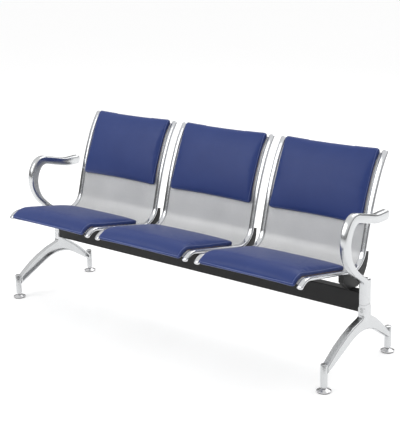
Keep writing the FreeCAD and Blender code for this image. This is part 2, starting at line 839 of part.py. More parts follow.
rail = side_rail()
bracket = seat_bracket()
seat_parts = {
    "perforated_shell": perforated_shell(),
    "seat_board": cushion_board(*seat_board_span, seat_screw_stations),
    "back_board": cushion_board(*back_board_span, back_screw_stations),
    "seat_cushion": cushion(-cushion_overhang, seat_cushion_rear, seat_cushion_stations,
                            seat_cushion_edge, seat_cushion_height, seat_board_span),
    "back_cushion": cushion(back_cushion_foot, shell_line.length + cushion_overhang, back_cushion_stations,
                            back_cushion_edge, back_cushion_height, back_board_span),
}
for number, centre in enumerate(seat_centres, start=1):
    for name, shape in seat_parts.items():
        pieces["%s_%d" % (name, number)] = moved(shape, centre)
    for side, label in ((-1, "left"), (1, "right")):
        x = centre + side * rail_centre_x
        pieces["side_rail_%d_%s" % (number, label)] = moved(rail if side > 0 else mirrored(rail), x)
        pieces["seat_bracket_%d_%s" % (number, label)] = moved(bracket, x)

for side_x, side_label in ((-1, "left"), (1, "right")):
    for side_y, end_label in ((-1, "front"), (1, "rear")):
        x = side_x * end_centre_x
        y = side_y * foot_span / 2
        corner = "%s_%s" % (end_label, side_label)
        pieces["glide_foot_" + corner] = glide_foot(x, y)
        pieces["glide_stud_" + corner] = glide_stud(x, y)
        pieces["glide_pad_" + corner] = glide_pad(x, y)

pieces["beam_bolts"] = Part.makeCompound(beam_bolts())
pieces["rail_screws"] = Part.makeCompound(rail_screws())
pieces["cushion_screws"] = Part.makeCompound(cushion_screws())
pieces["end_screws"] = Part.makeCompound(end_screws())

# Stand the whole centred over its footprint and write each node
everything = Part.makeCompound(list(pieces.values())).BoundBox
centring = Vector(0, -(everything.YMin + everything.YMax) / 2, 0)
os.makedirs("parts", exist_ok=True)
for name, shape in pieces.items():
    shape.translate(centring)
    shape.exportStep("parts/%s.step" % name)
    print(name, "solids", len(shape.Solids), "valid", shape.isValid(), "volume", round(shape.Volume))
print("slid along y by", round(centring.y, 3))
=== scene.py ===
# %% [markdown]
# # Three-place beam seating, dressed for a render
# The solids come from CAD as a frame of named nodes. Here they get their finishes, and the pieces that
# want rounder forms than flat facets give, the rails, castings, glides, sheets and cushions, are
# modelled anew and stand in for their nodes. Lengths are in metres, x runs along the beam, -y is front.

import json
import math

import bpy
import numpy as np
from mathutils import Matrix, Vector
from mathutils.kdtree import KDTree


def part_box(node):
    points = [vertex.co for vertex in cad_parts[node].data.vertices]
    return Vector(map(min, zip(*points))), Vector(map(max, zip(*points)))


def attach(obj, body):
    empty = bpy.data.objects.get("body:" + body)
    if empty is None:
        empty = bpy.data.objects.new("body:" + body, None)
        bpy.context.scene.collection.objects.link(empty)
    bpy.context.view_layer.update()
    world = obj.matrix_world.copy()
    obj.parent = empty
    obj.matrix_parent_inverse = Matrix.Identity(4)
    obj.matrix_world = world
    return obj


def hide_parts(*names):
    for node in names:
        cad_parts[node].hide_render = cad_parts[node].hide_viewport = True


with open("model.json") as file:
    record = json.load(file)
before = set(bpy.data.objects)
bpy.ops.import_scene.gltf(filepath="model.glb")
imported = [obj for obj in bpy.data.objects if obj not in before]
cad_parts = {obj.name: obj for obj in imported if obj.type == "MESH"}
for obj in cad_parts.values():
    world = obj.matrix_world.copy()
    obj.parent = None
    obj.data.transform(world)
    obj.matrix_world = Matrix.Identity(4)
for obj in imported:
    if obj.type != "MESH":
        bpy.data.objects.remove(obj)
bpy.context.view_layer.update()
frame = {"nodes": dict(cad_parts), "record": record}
nodes = frame["nodes"]

# %% [markdown]
# Operators act on whatever is selected, and loading leaves every node selected. So each step starts
# from an empty selection, in object mode. Two small helpers keep that habit in one place.

# %% Selection helpers


def select_only(piece):
    bpy.ops.object.select_all(action="DESELECT")
    piece.select_set(True)
    bpy.context.view_layer.objects.active = piece


def apply_modifier(piece, modifier):
    select_only(piece)
    bpy.ops.object.modifier_apply(modifier=modifier.name)


def shade_round(piece, degrees=40.0):
    select_only(piece)
    bpy.ops.object.shade_smooth_by_angle(angle=math.radians(degrees))


CAD_FACET_DEGREES = 26.0
bpy.ops.object.select_all(action="DESELECT")
for node in nodes.values():
    shade_round(node, CAD_FACET_DEGREES)
print("smoothed", len(nodes), "nodes")

# %% [markdown]
# ## Camera
# The camera stands where the photographer did: to the sitter's left, a little above, far back with a
# long lens. Its three angles and its distance were solved from the beam, the posts and the floor discs.
# Turning about z, then tipping down, then rolling about the line of sight builds its direction.

# %% Place the camera
CAMERA_PLACE = Vector((2.7558, -3.1621, 1.6882))
CAMERA_AZIMUTH = math.radians(40.22)
CAMERA_ELEVATION = math.radians(16.47)
CAMERA_ROLL = math.radians(-1.57)
FOCAL_LENGTH_PX = 1051.3
PHOTO_HEIGHT_PX = 443
SENSOR_LONG_SIDE = 36.0

camera_data = bpy.data.cameras.new("photo_camera")
camera_data.sensor_width = SENSOR_LONG_SIDE
camera_data.lens = FOCAL_LENGTH_PX / PHOTO_HEIGHT_PX * SENSOR_LONG_SIDE
camera_data.clip_end = 200.0
camera = bpy.data.objects.new("photo_camera", camera_data)
bpy.context.scene.collection.objects.link(camera)
turned = Matrix.Rotation(CAMERA_AZIMUTH, 4, "Z")
tipped = Matrix.Rotation(math.pi / 2 - CAMERA_ELEVATION, 4, "X")
rolled = Matrix.Rotation(CAMERA_ROLL, 4, "Z")
camera.matrix_world = Matrix.Translation(CAMERA_PLACE) @ turned @ tipped @ rolled
bpy.context.scene.camera = camera
print("lens", round(camera_data.lens, 2), "mm")

# %% [markdown]
# ## Floor and light
# The bench stands on a plain white studio floor, which a faint glow of its own keeps white. Chrome only
# shows what surrounds it, so the sky is not one flat white: it is bright above and has a dark band near
# the horizon, which draws the dark lines along the castings and rails. Two large soft lamps model the
# cushions.

# %% Make the floor
FLOOR_SIZE = 120.0
FLOOR_WHITE = (0.93, 0.93, 0.93, 1.0)
FLOOR_GLOW = 0.24
bpy.ops.object.select_all(action="DESELECT")
bpy.ops.mesh.primitive_plane_add(size=FLOOR_SIZE, location=(0.0, 0.0, 0.0))
floor = bpy.context.active_object
floor.name = "studio_floor"

floor_finish = bpy.data.materials.new("studio_floor_white")
floor_finish.use_nodes = True
floor_shader = floor_finish.node_tree.nodes["Principled BSDF"]
floor_shader.inputs["Base Color"].default_value = FLOOR_WHITE
floor_shader.inputs["Roughness"].default_value = 0.9
floor_shader.inputs["Specular IOR Level"].default_value = 0.1
floor_shader.inputs["Emission Color"].default_value = (1.0, 1.0, 1.0, 1.0)
floor_shader.inputs["Emission Strength"].default_value = FLOOR_GLOW
floor.data.materials.append(floor_finish)

# %% Make the sky
SKY_BANDS = [
    (0.0, 0.80),
    (0.49, 0.80),
    (0.50, 0.05),
    (0.57, 0.07),
    (0.64, 0.50),
    (0.78, 0.84),
    (1.0, 0.95),
]
world = bpy.data.worlds.new("studio_sky")
bpy.context.scene.world = world
world.use_nodes = True
sky = world.node_tree
background = sky.nodes["Background"]
direction = sky.nodes.new("ShaderNodeTexCoord")
split = sky.nodes.new("ShaderNodeSeparateXYZ")
height = sky.nodes.new("ShaderNodeMapRange")
height.inputs["From Min"].default_value = -1.0
height.inputs["From Max"].default_value = 1.0
bands = sky.nodes.new("ShaderNodeValToRGB")
while len(bands.color_ramp.elements) < len(SKY_BANDS):
    bands.color_ramp.elements.new(0.5)
for element, (position, brightness) in zip(bands.color_ramp.elements, SKY_BANDS):
    element.position = position
    element.color = (brightness, brightness, brightness, 1.0)
sky.links.new(direction.outputs["Generated"], split.inputs["Vector"])
sky.links.new(split.outputs["Z"], height.inputs["Value"])
sky.links.new(height.outputs["Result"], bands.inputs["Fac"])
sky.links.new(bands.outputs["Color"], background.inputs["Color"])
background.inputs["Strength"].default_value = 1.0

# %% Hang the lamps
LAMP_AIM = Vector((0.0, 0.0, 0.4))


def soft_lamp(name, place, size, power):
    lamp_data = bpy.data.lights.new(name, "AREA")
    lamp_data.shape = "SQUARE"
    lamp_data.size = size
    lamp_data.energy = power
    lamp = bpy.data.objects.new(name, lamp_data)
    bpy.context.scene.collection.objects.link(lamp)
    turn = (LAMP_AIM - Vector(place)).to_track_quat("-Z", "Y").to_matrix().to_4x4()
    lamp.matrix_world = Matrix.Translation(Vector(place)) @ turn


soft_lamp("lamp_front_left", place=(-2.5, -3.5, 3.2), size=3.0, power=70.0)
soft_lamp("lamp_above_behind", place=(0.5, 2.6, 3.4), size=3.5, power=60.0)
bpy.context.scene.view_settings.view_transform = "Standard"
print("two lamps and a banded sky")

# %% [markdown]
# ## Finishes
# Every finish is a node material that reads object coordinates or the piece's own map. A small builder
# adds nodes and wires them, so that each finish below reads as a recipe: what goes into what.

# %% Material helpers


class Recipe:
    """A node material under construction."""

    def __init__(self, name, color, roughness, metallic=0.0):
        self.material = bpy.data.materials.new(name)
        self.material.use_nodes = True
        self.tree = self.material.node_tree
        self.shader = self.tree.nodes["Principled BSDF"]
        self.shader.inputs["Base Color"].default_value = (*color, 1.0)
        self.shader.inputs["Roughness"].default_value = roughness
        self.shader.inputs["Metallic"].default_value = metallic

    def add(self, kind, **inputs):
        made = self.tree.nodes.new(kind)
        for name, value in inputs.items():
            self.feed(made, name.replace("_", " "), value)
        return made

    def feed(self, made, name, value):
        if isinstance(value, bpy.types.NodeSocket):
            self.tree.links.new(value, made.inputs[name])
        else:
            made.inputs[name].default_value = value

    def math(self, operation, first, second=0.0):
        made = self.tree.nodes.new("ShaderNodeMath")
        made.operation = operation
        for socket, value in zip(made.inputs, (first, second)):
            if isinstance(value, bpy.types.NodeSocket):
                self.tree.links.new(value, socket)
            else:
                socket.default_value = value
        return made.outputs["Value"]

    def noise(self, vector, scale, detail=3.0):
        return self.add("ShaderNodeTexNoise", Vector=vector, Scale=scale, Detail=detail).outputs["Fac"]

    def between(self, value, low, high):
        made = self.add("ShaderNodeMapRange", Value=value)
        made.inputs["To Min"].default_value = low
        made.inputs["To Max"].default_value = high
        return made.outputs["Result"]

    def blend_colors(self, share, first, second):
        made = self.tree.nodes.new("ShaderNodeMix")
        made.data_type = "RGBA"
        sockets = [made.inputs[0], made.inputs[6], made.inputs[7]]
        for socket, value in zip(sockets, (share, first, second)):
            if isinstance(value, bpy.types.NodeSocket):
                self.tree.links.new(value, socket)
            else:
                socket.default_value = value if isinstance(value, float) else (*value, 1.0)
        return made.outputs[2]

    def bump(self, height, distance, strength=1.0):
        made = self.add("ShaderNodeBump", Height=height, Distance=distance, Strength=strength)
        self.tree.links.new(made.outputs["Normal"], self.shader.inputs["Normal"])

    def object_place(self):
        return self.tree.nodes.new("ShaderNodeTexCoord").outputs["Object"]

    def own_map(self):
        return self.tree.nodes.new("ShaderNodeTexCoord").outputs["UV"]


# %% [markdown]
# ### Chrome and polished castings
# Bright metal is almost all reflection. What makes it real is that the polish is not even: faint
# clouding in the roughness and a very slight waviness break up the reflections. The castings are a
# little softer than the plated rails.

# %% Bright metals


def bright_metal(name, color, smooth, cloudy, wave):
    recipe = Recipe(name, color, smooth, 1.0)
    place = recipe.object_place()
    clouds = recipe.noise(place, 26.0, 4.0)
    recipe.feed(recipe.shader, "Roughness", recipe.between(clouds, smooth, cloudy))
    tint = recipe.blend_colors(clouds, color, tuple(channel * 0.93 for channel in color))
    recipe.feed(recipe.shader, "Base Color", tint)
    recipe.bump(recipe.noise(place, 9.0, 2.0), wave)
    return recipe.material


rail_chrome = bright_metal("rail_chrome", (0.70, 0.71, 0.73), 0.11, 0.21, 0.0006)
cast_polish = bright_metal("cast_polish", (0.64, 0.65, 0.66), 0.19, 0.30, 0.0010)
glide_chrome = bright_metal("glide_chrome", (0.62, 0.62, 0.63), 0.10, 0.24, 0.0004)
zinc_plate = bright_metal("zinc_plate", (0.62, 0.62, 0.60), 0.28, 0.42, 0.0002)

# %% [markdown]
# ### Black powder coat, rubber and board
# Powder coat has a fine orange-peel skin, so it gets a small close bump and a satin roughness.

# %% Dark and hidden finishes


def skin_coat(name, color, roughness, grain_scale, grain_depth):
    recipe = Recipe(name, color, roughness)
    place = recipe.object_place()
    shade = recipe.noise(place, 7.0)
    tint = recipe.blend_colors(shade, color, tuple(channel * 1.35 for channel in color))
    recipe.feed(recipe.shader, "Base Color", tint)
    rough = recipe.between(recipe.noise(place, 40.0), roughness - 0.06, roughness + 0.08)
    recipe.feed(recipe.shader, "Roughness", rough)
    recipe.bump(recipe.noise(place, grain_scale, 2.0), grain_depth)
    recipe.shader.inputs["Specular IOR Level"].default_value = 0.3
    return recipe.material


black_coat = skin_coat("black_powder_coat", (0.005, 0.005, 0.0055), 0.40, 900.0, 0.0003)
glide_rubber = skin_coat("glide_rubber", (0.02, 0.02, 0.02), 0.75, 500.0, 0.0003)


def pressed_board():
    recipe = Recipe("pressed_board", (0.20, 0.13, 0.07), 0.7)
    place = recipe.object_place()
    fibre = recipe.add("ShaderNodeMapping", Vector=place, Scale=(30.0, 400.0, 400.0))
    grain = recipe.noise(fibre.outputs["Vector"], 1.0, 5.0)
    tint = recipe.blend_colors(grain, (0.23, 0.15, 0.08), (0.12, 0.07, 0.035))
    recipe.feed(recipe.shader, "Base Color", tint)
    recipe.bump(grain, 0.0003)
    return recipe.material


board_wood = pressed_board()

# %% Dress the CAD nodes
FINISH_OF_SLOT = {
    "black_powder_coat": black_coat,
    "polished_casting": cast_polish,
    "chromed_rail": rail_chrome,
    "chromed_glide": glide_chrome,
    "zinc_steel": zinc_plate,
    "glide_rubber": glide_rubber,
    "board": board_wood,
}
for entry in frame["record"]["subparts"]:
    finish = FINISH_OF_SLOT.get(entry["material_slot"])
    if finish:
        node = nodes[entry["node"]]
        node.data.materials.clear()
        node.data.materials.append(finish)
print("dressed the hard nodes")

# %% [markdown]
# ## The seat line
# One line in the side view carries every soft and bent piece of a place: a nose, a straight seat, a
# tight bend and a back that curves gently away. It is a chain of straights and arcs that run smoothly
# into each other. Written as moves, it can both steer a sweep and bend a flat sheet.

# %% Describe the seat line
GROUND_SLIDE = (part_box("glide_pad_front_left")[0].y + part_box("glide_pad_rear_left")[1].y) / 2
NOSE_Y = -0.287 + GROUND_SLIDE
NOSE_Z = 0.405
NOSE_HEADING = 47.0
SEAT_LINE_MOVES = [
    (0.062, -58.0),
    (0.278, 0.0),
    (0.081, 85.0),
    (0.092, 0.0),
    (1.240, -9.0),
    (0.460, -13.0),
]


def chain(moves, y, z, heading):
    """Moves as stretches: where each begins on the line, its length, turn, place and heading."""
    stretches = []
    distance = 0.0
    for size, turn in moves:
        length = size * math.radians(abs(turn)) if turn else size
        stretches.append((distance, length, turn, y, z, heading))
        y, z, heading = along(stretches[-1], length)
        distance += length
    return stretches


def along(stretch, travelled):
    """The place and heading some way along one stretch, or straight on beyond its ends."""
    _, length, turn, y, z, heading = stretch
    inside = min(max(travelled, 0.0), length)
    swept = turn * inside / length
    chord = inside
    if turn:
        radius = length / math.radians(abs(turn))
        chord = 2 * radius * math.sin(math.radians(abs(swept)) / 2)
    angle = math.radians(heading + swept / 2)
    y, z = y + chord * math.cos(angle), z + chord * math.sin(angle)
    beyond = travelled - inside
    angle = math.radians(heading + swept)
    return y + beyond * math.cos(angle), z + beyond * math.sin(angle), heading + swept


SEAT_LINE = chain(SEAT_LINE_MOVES, NOSE_Y, NOSE_Z, NOSE_HEADING)
SEAT_LINE_LENGTH = SEAT_LINE[-1][0] + SEAT_LINE[-1][1]


def on_seat_line(x, distance, offset):
    """The point at a distance along the seat line and an offset above it."""
    stretch = SEAT_LINE[0]
    for candidate in SEAT_LINE:
        if distance >= candidate[0]:
            stretch = candidate
    y, z, heading = along(stretch, distance - stretch[0])
    angle = math.radians(heading)
    return Vector((x, y - offset * math.sin(angle), z + offset * math.cos(angle)))


print("seat line is", round(SEAT_LINE_LENGTH, 4), "long, slide", round(GROUND_SLIDE, 4))

# %% [markdown]
# ## Side rails
# A rail is a flat oval tube, bent in a jig and plated. The way to model it is the way a bender works:
# draw the section at one end, then alternate straight extrusions with spins about each bend's centre.
# The two ends are closed with small rounded caps by extruding and shrinking the end face.

# %% Sweep helper
CAP_RINGS = 4
CAP_OPEN_RINGS = 0.6


def sweep_face(moves_line, steps_per_turn=14.0):
    """Carries the selected end face along a chain of stretches that begins where the face stands."""
    for _, length, turn, y, z, heading in moves_line:
        angle = math.radians(heading)
        if turn == 0.0:
            step = Vector((0.0, math.cos(angle), math.sin(angle))) * length
            bpy.ops.mesh.extrude_region_move(TRANSFORM_OT_translate={"value": step})
            continue
        radius = length / math.radians(abs(turn))
        side = 1.0 if turn > 0 else -1.0
        centre = (0.0, y - side * radius * math.sin(angle), z + side * radius * math.cos(angle))
        steps = max(3, round(abs(turn) / 90.0 * steps_per_turn))
        bpy.ops.mesh.spin(steps=steps, angle=math.radians(-turn), center=centre, axis=(1.0, 0.0, 0.0))


def round_off_end(outward, reach):
    """Closes the selected end face with a rounded cap."""
    risen = 0.0
    shrunk = 1.0
    for ring in range(1, CAP_RINGS + 1):
        turn = math.pi / 2 * ring / (CAP_RINGS + CAP_OPEN_RINGS)
        rise = reach * math.sin(turn)
        width = math.cos(turn)
        bpy.ops.mesh.extrude_region_move(TRANSFORM_OT_translate={"value": outward * (rise - risen)})
        bpy.ops.transform.resize(value=(width / shrunk,) * 3)
        risen, shrunk = rise, width


# %% Model one rail
RAIL_WIDTH = 0.025
RAIL_DEPTH = 0.014
RAIL_SECTION_POINTS = 24

bpy.ops.object.select_all(action="DESELECT")
bpy.ops.mesh.primitive_circle_add(vertices=RAIL_SECTION_POINTS, radius=RAIL_DEPTH / 2, fill_type="NGON")
rail = bpy.context.active_object
rail.name = "rail_pattern"
half_flat = (RAIL_WIDTH - RAIL_DEPTH) / 2
for vertex in rail.data.vertices:
    vertex.co.x += math.copysign(half_flat, vertex.co.x + 1e-9)
start_angle = math.radians(NOSE_HEADING)
tilted = Matrix.Rotation(start_angle - math.pi / 2, 4, "X")
rail.data.transform(Matrix.Translation((0.0, NOSE_Y, NOSE_Z)) @ tilted)
bpy.ops.object.mode_set(mode="EDIT")
bpy.ops.mesh.select_all(action="SELECT")
sweep_face(SEAT_LINE)
end_heading = math.radians(SEAT_LINE[-1][5] + SEAT_LINE[-1][2])
round_off_end(Vector((0.0, math.cos(end_heading), math.sin(end_heading))), RAIL_DEPTH / 2)
bpy.ops.object.mode_set(mode="OBJECT")

# %% [markdown]
# The first end still shows the flat disc that the sweep started from. The same face, found by its
# normal against the line's first heading, gets the same rounded cap. Sweeps can turn a shell inside
# out, so the doubles are merged and the normals made consistent before the rail is copied.

# %% Close the rail and copy it to six places


def select_faces(piece, wanted):
    """Selects the faces that a test picks, from object mode, and leaves the piece in edit mode."""
    select_only(piece)
    bpy.ops.object.mode_set(mode="EDIT")
    bpy.ops.mesh.select_mode(type="FACE")
    bpy.ops.mesh.select_all(action="DESELECT")
    bpy.ops.object.mode_set(mode="OBJECT")
    for face in piece.data.polygons:
        face.select = wanted(face)
    bpy.ops.object.mode_set(mode="EDIT")


def clean_shell(piece):
    select_only(piece)
    bpy.ops.object.mode_set(mode="EDIT")
    bpy.ops.mesh.select_all(action="SELECT")
    bpy.ops.mesh.remove_doubles(threshold=0.00002)
    bpy.ops.mesh.normals_make_consistent(inside=False)
    bpy.ops.object.mode_set(mode="OBJECT")


start_way = Vector((0.0, math.cos(start_angle), math.sin(start_angle)))
start_point = Vector((0.0, NOSE_Y, NOSE_Z))


def is_start_face(face):
    flat_on = abs((face.center - start_point).dot(start_way)) < 0.0005
    return flat_on and abs(face.normal.dot(start_way)) > 0.99


select_faces(rail, is_start_face)
round_off_end(-start_way, RAIL_DEPTH / 2)
bpy.ops.object.mode_set(mode="OBJECT")
clean_shell(rail)


def copy_of(pattern, name, x):
    twin = bpy.data.objects.new(name, pattern.data.copy())
    bpy.context.scene.collection.objects.link(twin)
    twin.data.transform(Matrix.Translation((x, 0.0, 0.0)))
    return twin


def stand_in(piece, finish, slot, *node_names):
    """Dresses a new piece and lets it stand for its CAD nodes on the bench."""
    piece.data.materials.clear()
    piece.data.materials.append(finish)
    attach(piece, "bench")
    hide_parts(*node_names)


def middle_x(node_name):
    low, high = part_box(node_name)
    return (low.x + high.x) / 2


shade_round(rail, 50.0)
PLACES = (1, 2, 3)
for number in PLACES:
    for side in ("left", "right"):
        node_name = "side_rail_%d_%s" % (number, side)
        twin = copy_of(rail, "smooth_rail_%d_%s" % (number, side), middle_x(node_name))
        stand_in(twin, rail_chrome, "chromed_rail", node_name)
bpy.data.objects.remove(rail)
print("six rails")

# %% [markdown]
# ## Castings
# The arms and legs are castings: one closed outline in the side view, some 30 mm thick, with rounded
# rims. A pen draws the outline in edit mode. It starts as one vertex, and the same straights and bends
# that carry a section along a rail carry the vertex along the outline. The closed line is then filled,
# given its thickness and rounded over.

# %% Pen and slab helpers


def pen_at(name, y, z):
    """A new mesh of one vertex, in edit mode, from which a line is drawn."""
    bpy.ops.object.select_all(action="DESELECT")
    bpy.ops.mesh.primitive_circle_add(vertices=3, radius=0.001)
    pen = bpy.context.active_object
    pen.name = name
    bpy.ops.object.mode_set(mode="EDIT")
    bpy.ops.mesh.select_mode(type="VERT")
    bpy.ops.mesh.select_all(action="SELECT")
    bpy.ops.mesh.merge(type="CENTER")
    bpy.ops.transform.translate(value=(0.0, y, z))
    return pen


def end_of(moves, start):
    """Where a line of moves ends: its place and heading."""
    last = chain(moves, *start)[-1]
    return along(last, last[1])


def backwards(moves):
    return [(size, -turn) for size, turn in reversed(moves)]


def until_y(moves, start, y):
    """The moves with one more straight, which ends at a y value."""
    here_y, _, heading = end_of(moves, start)
    return moves + [((y - here_y) / math.cos(math.radians(heading)), 0.0)]


def fill_and_thicken(pen, width):
    """Closes the drawn line, fills it and gives it thickness about x = 0. Ends in object mode."""
    bpy.ops.mesh.select_all(action="SELECT")
    bpy.ops.mesh.remove_doubles(threshold=0.00005)
    bpy.ops.mesh.edge_face_add()
    bpy.ops.transform.translate(value=(-width / 2, 0.0, 0.0))
    bpy.ops.mesh.extrude_region_move(TRANSFORM_OT_translate={"value": (width, 0.0, 0.0)})
    bpy.ops.mesh.select_all(action="SELECT")
    bpy.ops.mesh.normals_make_consistent(inside=False)
    bpy.ops.object.mode_set(mode="OBJECT")


def round_rim(piece, side_x, radius, segments, wall_test):
    """Rounds those edges in the plane x = side_x whose wall face has a normal that passes a test."""
    wanted = set()
    for face in piece.data.polygons:
        if abs(face.normal.x) < 0.5 and wall_test(face.normal):
            wanted.update(tuple(sorted(key)) for key in face.edge_keys)
    select_only(piece)
    bpy.ops.object.mode_set(mode="EDIT")
    bpy.ops.mesh.select_mode(type="EDGE")
    bpy.ops.mesh.select_all(action="DESELECT")
    bpy.ops.object.mode_set(mode="OBJECT")
    for edge in piece.data.edges:
        ends = [piece.data.vertices[index].co.x for index in edge.vertices]
        on_rim = all(abs(x - side_x) < 1e-5 for x in ends)
        edge.select = on_rim and tuple(sorted(edge.vertices)) in wanted
    bpy.ops.object.mode_set(mode="EDIT")
    bpy.ops.mesh.bevel(offset=radius, segments=segments, affect="EDGES", clamp_overlap=False)
    bpy.ops.object.mode_set(mode="OBJECT")


def rounded_box(name, low, high, radius, picks):
    """A box whose edges along the picked axis are rounded."""
    bpy.ops.object.select_all(action="DESELECT")
    middle = [(a + b) / 2 for a, b in zip(low, high)]
    bpy.ops.mesh.primitive_cube_add(size=1.0)
    block = bpy.context.active_object
    block.name = name
    size = [b - a for a, b in zip(low, high)]
    block.data.transform(Matrix.Translation(middle) @ Matrix.Diagonal((*size, 1.0)))
    bpy.ops.object.mode_set(mode="EDIT")
    bpy.ops.mesh.select_mode(type="EDGE")
    bpy.ops.mesh.select_all(action="DESELECT")
    bpy.ops.object.mode_set(mode="OBJECT")
    for edge in block.data.edges:
        first, second = (block.data.vertices[index].co for index in edge.vertices)
        edge.select = abs((second - first).normalized()[picks]) > 0.9
    bpy.ops.object.mode_set(mode="EDIT")
    bpy.ops.mesh.bevel(offset=radius, segments=5, affect="EDGES")
    bpy.ops.object.mode_set(mode="OBJECT")
    return block


def turned_piece(name, profile, steps=48):
    """A round piece: half its section as (radius, height) points, spun about the upright axis."""
    bpy.ops.object.select_all(action="DESELECT")
    pen = pen_at(name, *profile[0])
    for (y0, z0), (y1, z1) in zip(profile, profile[1:]):
        bpy.ops.mesh.extrude_region_move(TRANSFORM_OT_translate={"value": (0.0, y1 - y0, z1 - z0)})
    bpy.ops.mesh.select_all(action="SELECT")
    bpy.ops.mesh.spin(steps=steps, angle=2 * math.pi, center=(0.0, 0.0, 0.0), axis=(0.0, 0.0, 1.0))
    bpy.ops.object.mode_set(mode="OBJECT")
    clean_shell(pen)
    return pen


def join_into(piece, *others):
    bpy.ops.object.select_all(action="DESELECT")
    for other in others:
        other.select_set(True)
    piece.select_set(True)
    bpy.context.view_layer.objects.active = piece
    bpy.ops.object.join()
    return piece


def mirrored_pair(pattern, name, x, finish, slot, node_stem):
    """Stands one copy at x and its mirror image at -x, each for its own CAD node."""
    for sign, side in ((1.0, "right"), (-1.0, "left")):
        twin = copy_of(pattern, "%s_%s" % (name, side), x)
        if sign < 0:
            twin.data.transform(Matrix.Diagonal((-1.0, 1.0, 1.0, 1.0)))
            twin.data.flip_normals()
        stand_in(twin, finish, slot, "%s_%s" % (node_stem, side))
    bpy.data.objects.remove(pattern)


# %% [markdown]
# ### Arm
# The arm rises from its post, swings forward in a C and runs back as the armrest. Its front line and its
# rear line are two lists of moves that differ by the casting's thickness, which slims a little over the
# last two bends. A half turn joins them at the armrest's end, and that end is narrowed in plan as well,
# so that it becomes a rounded knob.

# %% Arm sizes
POST_WIDTH = 0.031
POST_DEPTH = 0.048
POST_Y = 0.0475 + GROUND_SLIDE
SEAM_Z = 0.257
SEAM_HALF_GAP = 0.0004
END_CENTRE_X = middle_x("glide_foot_front_right")
ARM_THICK = 0.030
ARM_SLIM = 0.002
ARM_RIM = 0.0095
STEM = [(0.043, 0.0)]
FRONT_BENDS = [(0.260, 16.0), (0.146, 38.0)]
CROWN_BENDS = [(0.110, 42.0), (0.050, 65.0)]
ARMREST = [(0.110, 0.0)]
BELOW_SEAM = 0.020
POST_TOP_FRONT = [(0.078 + BELOW_SEAM, 0.0), (0.018, 56.0)]
POST_TOP_REAR = [(0.089 + BELOW_SEAM, 0.0), (0.012, 90.0), (0.007, 0.0), (0.014, -34.0)]
TIP_LIFT_OUTER = [(0.150, 15.0)]
TIP_LIFT_INNER = [(0.180, 15.0), (0.037, 0.0)]

# %% Draw the arm


def c_moves(side):
    """The stem, the C and the straight armrest on the outer (+1) or the inner (-1) line."""
    crown_turn = sum(turn for _, turn in CROWN_BENDS)
    ease = ARM_SLIM / (1 - math.cos(math.radians(crown_turn)))
    moves = list(STEM)
    moves += [(radius + side * ARM_THICK / 2, -turn) for radius, turn in FRONT_BENDS]
    moves += [(radius + side * (ARM_THICK / 2 - ease), -turn) for radius, turn in CROWN_BENDS]
    return moves + ARMREST


outer_start = (POST_Y - POST_DEPTH / 2, SEAM_Z - BELOW_SEAM, 90.0)
inner_start = (POST_Y + POST_DEPTH / 2, SEAM_Z - BELOW_SEAM, 90.0)
outer_moves = POST_TOP_FRONT + c_moves(1) + TIP_LIFT_OUTER
inner_moves = POST_TOP_REAR + c_moves(-1) + TIP_LIFT_INNER
outer_y, outer_z, rest_heading = end_of(outer_moves, outer_start)
inner_y, inner_z, _ = end_of(inner_moves, inner_start)
rest_way = Vector((0.0, math.cos(math.radians(rest_heading)), math.sin(math.radians(rest_heading))))
gap_between = Vector((0.0, inner_y - outer_y, inner_z - outer_z))
level_up = gap_between.dot(rest_way)
tip_radius = (gap_between - rest_way * level_up).length / 2
outline = outer_moves + [(level_up, 0.0), (tip_radius, -180.0)] + backwards(inner_moves)

arm = pen_at("arm_pattern", *outer_start[:2])
sweep_face(chain(outline, *outer_start))
bpy.ops.mesh.extrude_region_move(TRANSFORM_OT_translate={"value": (0.0, -POST_DEPTH, 0.0)})
fill_and_thicken(arm, POST_WIDTH)
for side_x in (-POST_WIDTH / 2, POST_WIDTH / 2):
    round_rim(arm, side_x, ARM_RIM, 5, lambda normal: True)
tip_y = inner_y + tip_radius * rest_way.y
print("arm has", len(arm.data.polygons), "faces, tip at", round(tip_y, 4))

# %% Round the armrest's end and cut the seam
KNOB = POST_WIDTH / 2
KNOB_END_SHARE = 0.08
for vertex in arm.data.vertices:
    beyond = (vertex.co.y - (tip_y - KNOB)) / KNOB
    if beyond > 0 and vertex.co.z > SEAM_Z + BELOW_SEAM:
        vertex.co.x *= math.sqrt(max(KNOB_END_SHARE, 1 - beyond ** 2))
select_only(arm)
bpy.ops.object.mode_set(mode="EDIT")
bpy.ops.mesh.select_all(action="SELECT")
bpy.ops.mesh.bisect(plane_co=(0.0, 0.0, SEAM_Z + SEAM_HALF_GAP), plane_no=(0.0, 0.0, 1.0),
                    clear_inner=True, use_fill=True)
bpy.ops.object.mode_set(mode="OBJECT")
beam_low, beam_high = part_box("beam")
SPIGOT_ROOM = 0.0022
SPIGOT_IN = 0.038
SPIGOT_OFF_SEAM = 0.006
SPIGOT_CORNER = 0.0015
spigot_low = (-POST_WIDTH / 2 - SPIGOT_IN, beam_low.y + SPIGOT_ROOM, SEAM_Z + SPIGOT_OFF_SEAM)
spigot_high = (-POST_WIDTH / 4, beam_high.y - SPIGOT_ROOM, beam_high.z - SPIGOT_ROOM)
join_into(arm, rounded_box("arm_spigot", spigot_low, spigot_high, SPIGOT_CORNER, 0))
clean_shell(arm)
shade_round(arm, 30.0)
mirrored_pair(arm, "smooth_arm", END_CENTRE_X, cast_polish, "polished_casting", "arm_casting")
print("two arms")

# %% [markdown]
# ### Leg
# The leg is a recessed arch. Its underside is one wide bend between two straights, its upper lines arch
# down to the feet. The outer rim is rounded more below than above, and the inner side is hollow: its
# face is inset and pushed in. A short upright carries the seam, and two turned posts carry the glides,
# each bored for its stud.

